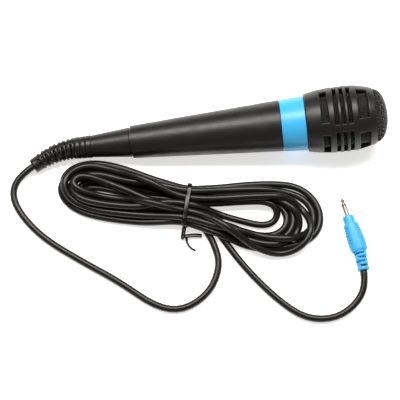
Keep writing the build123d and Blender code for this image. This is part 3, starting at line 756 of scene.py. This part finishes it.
# ---------------------------------------------------------------- twist tie
TIE_HALF_WIDTH = 16.75
TIE_TOP = 15.6
TIE_LIFT = 0.2
TIE_SLACK = 0.1
TIE_LOWEST = 0.45
TIE_SWAY = 0.5               # how far the band strays along the hank
TIE_STEPS = 72
SIDE_POWER, TOP_POWER = 0.55, 0.7    # below 1, for a band that is squarer than an ellipse
RIPPLES = 9                  # waves of the band over the strands
RIPPLE_HEIGHT = 0.25
STRIP_SIDES = 12
BAND_SECTION = (3.6, 1.0)    # width and thickness of the strip round the waist
TWIST_SECTION = (3.0, 1.3)
FLAT_SECTION = (3.2, 1.3)
THIN_SECTION = (2.0, 0.9)
TWIST_START, TWIST_END = (0, -15.8, 6.0), (-0.6, -24.4, 2.4)
TWIST_TURNS = 1.9
TWIST_RADIUS = 0.95
TWIST_STEPS = 36
TIP_STEPS = 14


def squared(value, power):
    """A power of a value that keeps its sign."""
    return abs(value) ** power * (1 if value > 0 else -1)


def strip(name, points, normals, size, matrix, closed_loop=False):
    """A flat strip with rounded sides along points, with a normal at each point."""
    width, thickness = size
    angles = [2 * pi * k / STRIP_SIDES for k in range(STRIP_SIDES)]
    section = [(squared(cos(a), 0.5) * width / 2, sin(a) * thickness / 2) for a in angles]
    count = len(points)
    vertices = []
    for index, (point, normal) in enumerate(zip(points, normals)):
        before = points[index - 1] if index or closed_loop else point
        after = points[(index + 1) % count] if index < count - 1 or closed_loop else point
        ahead = (after - before).normalized()
        side = ahead.cross(normal).normalized()
        up = side.cross(ahead)
        vertices += [point + side * x + up * y for x, y in section]
    faces = grid_faces(count, len(section), closed_loop)
    if not closed_loop:
        faces.append(tuple(range(len(section))))
        faces.append(tuple((count - 1) * len(section) + k for k in range(len(section))))
    return add_mesh(name, vertices, faces, matrix)


def make_tie():
    """The band round the waist, the two ends twisted round each other, and their loose tips."""
    centre = Matrix.Translation((HANK_CENTRE[0] * MM, HANK_CENTRE[1] * MM, 0))
    matrix = centre @ Matrix.Rotation(radians(HANK_HEADING), 4, "Z") @ Matrix.Scale(MM, 4)
    middle, half = TIE_TOP / 2 + TIE_LIFT, TIE_TOP / 2 + TIE_SLACK
    band, outward = [], []
    for step in range(TIE_STEPS):
        angle = 2 * pi * step / TIE_STEPS
        v = TIE_HALF_WIDTH * squared(cos(angle), SIDE_POWER)
        w = half * squared(sin(angle), TOP_POWER)
        ripple = RIPPLE_HEIGHT * sin(RIPPLES * angle)
        band.append(Vector((TIE_SWAY * sin(2 * angle), v, max(middle + w + ripple, TIE_LOWEST))))
        outward.append(Vector((0, cos(angle), sin(angle))))
    pieces = [strip("tie_band", band, outward, BAND_SECTION, matrix, closed_loop=True)]
    start, end = Vector(TWIST_START), Vector(TWIST_END)
    for twist in (0, pi):
        points, normals = [], []
        for step in range(TWIST_STEPS + 1):
            t = step / TWIST_STEPS
            angle = 2 * pi * TWIST_TURNS * t + twist
            swing = Vector((cos(angle), 0.3 * sin(angle), sin(angle)))
            points.append(start.lerp(end, t) + swing * TWIST_RADIUS)
            normals.append(swing)
        pieces.append(strip("tie_twist", points, normals, TWIST_SECTION, matrix))
    shares = [step / TIP_STEPS for step in range(TIP_STEPS + 1)]
    flat = [Vector((-0.8 + 14.5 * t, -23.4 + 2.6 * t + 0.6 * sin(pi * t), 2.4 + 0.6 * sin(pi * t)))
            for t in shares]
    thin = [Vector((2.5 + 8.0 * t * t, -23.2 - 9.5 * sin(t * 1.35), 1.7 + 1.2 * sin(pi * t)))
            for t in shares]
    pieces.append(strip("tie_flat", flat, [Vector((0.1, 0.25, 1))] * len(flat), FLAT_SECTION, matrix))
    pieces.append(strip("tie_thin", thin, [Vector((0.2, 0.6, 0.8))] * len(thin), THIN_SECTION, matrix))
    tie = join("tie", pieces)
    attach(tie, "tail")
    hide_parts("hank_tie")
    return tie


# ---------------------------------------------------------------- materials
# features per metre of each material's noise, and the height of a metal's marks in metres
UNEVEN_SCALE = 55
HANDLED_SCALE = 130
TARNISH_SCALE = 160
MARKS_SCALE = 2600
MARKS_HEIGHT = 0.000004


def shader(name, colour, roughness, metallic=0.0, **inputs):
    """A new material and its main node."""
    material = bpy.data.materials.new(name)
    material.use_nodes = True
    main = material.node_tree.nodes["Principled BSDF"]
    main.inputs["Base Color"].default_value = (*colour, 1)
    main.inputs["Roughness"].default_value = roughness
    main.inputs["Metallic"].default_value = metallic
    for socket, value in inputs.items():
        main.inputs[socket.replace("_", " ")].default_value = value
    return material, main


def noise(material, scale, detail=3.0, stretch=(1, 1, 1)):
    """A noise texture in the frame's metres; scale is in features per metre."""
    nodes, links = material.node_tree.nodes, material.node_tree.links
    place = nodes.new("ShaderNodeTexCoord")
    mapping = nodes.new("ShaderNodeMapping")
    mapping.inputs["Scale"].default_value = stretch
    texture = nodes.new("ShaderNodeTexNoise")
    texture.inputs["Scale"].default_value = scale
    texture.inputs["Detail"].default_value = detail
    links.new(place.outputs["Object"], mapping.inputs["Vector"])
    links.new(mapping.outputs["Vector"], texture.inputs["Vector"])
    return texture.outputs["Fac"]


def spread(material, value, low, high):
    """A value between 0.3 and 0.7 brought to a range."""
    node = material.node_tree.nodes.new("ShaderNodeMapRange")
    node.inputs["From Min"].default_value = 0.3
    node.inputs["From Max"].default_value = 0.7
    node.inputs["To Min"].default_value = low
    node.inputs["To Max"].default_value = high
    material.node_tree.links.new(value, node.inputs["Value"])
    return node.outputs["Result"]


def mottle(material, main, value, dark, light):
    """Colour between two tones."""
    node = material.node_tree.nodes.new("ShaderNodeMix")
    node.data_type = "RGBA"
    node.inputs["A"].default_value = (*dark, 1)
    node.inputs["B"].default_value = (*light, 1)
    material.node_tree.links.new(spread(material, value, 0, 1), node.inputs["Factor"])
    material.node_tree.links.new(node.outputs["Result"], main.inputs["Base Color"])


def relief(material, main, value, depth):
    """Small height changes of a surface; depth is in metres."""
    node = material.node_tree.nodes.new("ShaderNodeBump")
    node.inputs["Strength"].default_value = 1.0
    node.inputs["Distance"].default_value = depth
    material.node_tree.links.new(value, node.inputs["Height"])
    material.node_tree.links.new(node.outputs["Normal"], main.inputs["Normal"])


def moulded(name, colour, roughness, grain=0.00002, grain_scale=4200, tone=0.18, **inputs):
    """Moulded plastic or rubber: fine grain, a little handling shine, a little unevenness of colour."""
    material, main = shader(name, colour, roughness, **inputs)
    uneven = noise(material, UNEVEN_SCALE, 4)
    mottle(material, main, uneven, [c * (1 - tone) for c in colour], [c * (1 + tone) for c in colour])
    handled = spread(material, noise(material, HANDLED_SCALE, 5), roughness - 0.045, roughness + 0.06)
    material.node_tree.links.new(handled, main.inputs["Roughness"])
    relief(material, main, noise(material, grain_scale, 2), grain)
    return material


def metal(name, colour, roughness, stretch=(1, 1, 1)):
    """Metal with fine marks along one direction."""
    material, main = shader(name, colour, roughness, 1.0)
    marks = noise(material, MARKS_SCALE, 3, stretch)
    worn = spread(material, marks, roughness - 0.05, roughness + 0.08)
    material.node_tree.links.new(worn, main.inputs["Roughness"])
    dark, light = [c * 0.9 for c in colour], [min(c * 1.06, 1) for c in colour]
    mottle(material, main, noise(material, TARNISH_SCALE, 3), dark, light)
    relief(material, main, marks, MARKS_HEIGHT)
    return material


def porous(name, colour, scale, depth):
    """Foam, felt or cloth: cells or threads with a bump, and painted shade and light that follow the bump."""
    material, main = shader(name, colour, 0.95, Sheen_Weight=0.25)
    cells = noise(material, scale, 5)
    # painted shade and light: the colour follows the bump's height, darker in the hollows of the cells and threads
    # and lighter on their tops
    mottle(material, main, cells, [c * 0.4 for c in colour], [c * 1.8 for c in colour])
    relief(material, main, cells, depth)
    return material


SHELL_COLOUR = (0.0082, 0.0074, 0.0062)
BLUE = (0.045, 0.40, 0.74)
MATERIALS = {
    "shell_black": moulded("shell plastic", SHELL_COLOUR, 0.38, Specular_IOR_Level=0.42),
    "boot_black": moulded("boot plastic", SHELL_COLOUR, 0.34, grain=0.00001, Specular_IOR_Level=0.42),
    "cord_black": moulded("cord jacket", (0.0070, 0.0063, 0.0053), 0.32, grain=0.000006, grain_scale=2200,
                          Specular_IOR_Level=0.36),
    "tie_black": moulded("tie plastic", (0.0035, 0.0033, 0.0030), 0.24, grain=0.00001, grain_scale=1500,
                         Specular_IOR_Level=0.35),
    "band_blue": moulded("band plastic", BLUE, 0.34, grain=0.000006, tone=0.025),
    "plug_blue": moulded("plug plastic", BLUE, 0.42, grain=0.000012, tone=0.03),
    "wire_black": moulded("lacquered wire", (0.012, 0.0115, 0.0105), 0.26, grain=0.000008),
    "foam_grey": porous("foam", (0.018, 0.018, 0.017), 2300, 0.0004),
    "jack_plating": metal("pin plating", (0.36, 0.32, 0.27), 0.42),
    "insulator_black": moulded("pin insulator", (0.012, 0.012, 0.012), 0.35),
    "inner_plastic": moulded("inner plastic", (0.035, 0.035, 0.035), 0.5),
    "mount_rubber": moulded("mount rubber", (0.025, 0.025, 0.024), 0.75, grain=0.00003),
    "case_aluminium": metal("case aluminium", (0.72, 0.72, 0.73), 0.32),
    "soft_steel": metal("soft steel", (0.56, 0.56, 0.57), 0.36),
    "ferrite_grey": moulded("ferrite", (0.11, 0.11, 0.115), 0.62, grain=0.00004),
    "coil_copper": metal("coil copper", (0.75, 0.36, 0.18), 0.34, (1, 6, 6)),
    "crimp_brass": metal("pressed brass", (0.76, 0.58, 0.27), 0.3),
    "tinned_tag": metal("tinned tag", (0.70, 0.70, 0.67), 0.4),
    "film_clear": moulded("diaphragm film", (0.62, 0.58, 0.46), 0.22, grain=0.000004),
    "cloth_grey": porous("damping cloth", (0.12, 0.12, 0.12), 5200, 0.0001),
    "fibre_board": moulded("fibre board", (0.23, 0.11, 0.05), 0.6, grain=0.00003),
    "lead_red": moulded("red lead", (0.45, 0.02, 0.015), 0.4),
    "lead_white": moulded("white lead", (0.72, 0.70, 0.66), 0.4),
}


def dress(piece, slot):
    """Give a piece the material of a slot."""
    piece.data.materials.clear()
    piece.data.materials.append(MATERIALS[slot])


def dress_nodes():
    """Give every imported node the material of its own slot."""
    for part in frame["record"]["subparts"]:
        piece = NODES[part["node"]]
        for index in range(len(piece.material_slots)):
            piece.material_slots[index].material = MATERIALS[part["material_slot"]]


# ---------------------------------------------------------------- all pieces
dress_nodes()
dress(make_band(), "band_blue")
dress(make_housing(), "shell_black")
dress(make_fins(), "shell_black")
dress(make_basket(), "wire_black")
dress(make_boot(), "boot_black")
plug_grip, plug_boot = make_plug()
dress(plug_grip, "plug_blue")
dress(plug_boot, "plug_blue")
tie = make_tie()
dress(tie, "tie_black")
cord = add_cord(cord_line())
dress(cord, "cord_black")
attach(cord, "tail")
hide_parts("cord_lead", "cord_hank", "cord_tail")

# ---------------------------------------------------------------- camera
TARGET = Vector((-0.01025, -0.04712, 0.0))
CAMERA_DISTANCE = 1.0
CAMERA_ELEVATION = radians(75.0)
CAMERA_AZIMUTH = radians(-5.08)
CAMERA_LENS = 117.5
CAMERA_SENSOR = 36


def add_camera():
    """The view of the object on its table, from above and a little to the left."""
    data = bpy.data.cameras.new("camera")
    data.lens = CAMERA_LENS
    data.sensor_width = CAMERA_SENSOR
    camera = bpy.data.objects.new("camera", data)
    bpy.context.scene.collection.objects.link(camera)
    flat = CAMERA_DISTANCE * cos(CAMERA_ELEVATION)
    offset = Vector((sin(CAMERA_AZIMUTH) * flat, -cos(CAMERA_AZIMUTH) * flat,
                     CAMERA_DISTANCE * sin(CAMERA_ELEVATION)))
    camera.location = TARGET + offset
    camera.rotation_euler = (-offset).to_track_quat("-Z", "Y").to_euler()
    bpy.context.scene.camera = camera


add_camera()

# ---------------------------------------------------------------- stage
FLOOR_HALF = 3.0             # metres
FLOOR_WHITE = (0.92, 0.92, 0.92)
FLOOR_GLOW = (1.0, 0.99, 0.98, 1)
FLOOR_GLOW_STRENGTH = 0.62
LIGHT_PLACE = (0, 0.50, 1.3)
LIGHT_SIZE = (1.6, 0.55)
LIGHT_POWER = 34
LIGHT_COLOUR = (1.0, 0.985, 0.94)
WORLD_STRENGTH = 0.2


def add_floor():
    """A white table that glows a little, as a lit backdrop does."""
    corners = [(x * FLOOR_HALF, y * FLOOR_HALF, 0) for x, y in ((-1, -1), (1, -1), (1, 1), (-1, 1))]
    mesh = bpy.data.meshes.new("floor")
    mesh.from_pydata(corners, [], [(0, 1, 2, 3)])
    floor = bpy.data.objects.new("floor", mesh)
    bpy.context.scene.collection.objects.link(floor)
    material, main = shader("floor", FLOOR_WHITE, 0.8)
    main.inputs["Emission Color"].default_value = FLOOR_GLOW
    main.inputs["Emission Strength"].default_value = FLOOR_GLOW_STRENGTH
    floor.data.materials.append(material)


def add_light(name, place, aim, size, power, colour):
    """A rectangular soft light that points at a place."""
    data = bpy.data.lights.new(name, "AREA")
    data.shape = "RECTANGLE"
    data.size, data.size_y = size
    data.energy = power
    data.color = colour
    light = bpy.data.objects.new(name, data)
    bpy.context.scene.collection.objects.link(light)
    light.location = place
    light.rotation_euler = (Vector(aim) - Vector(place)).to_track_quat("-Z", "Y").to_euler()


def add_world():
    """Even white light from all sides."""
    world = bpy.data.worlds.new("world")
    bpy.context.scene.world = world
    world.use_nodes = True
    background = world.node_tree.nodes["Background"]
    background.inputs["Color"].default_value = (1, 1, 1, 1)
    background.inputs["Strength"].default_value = WORLD_STRENGTH


add_floor()
add_light("overhead", LIGHT_PLACE, (0, 0, 0), LIGHT_SIZE, LIGHT_POWER, LIGHT_COLOUR)
add_world()
bpy.context.scene.view_settings.view_transform = "Standard"
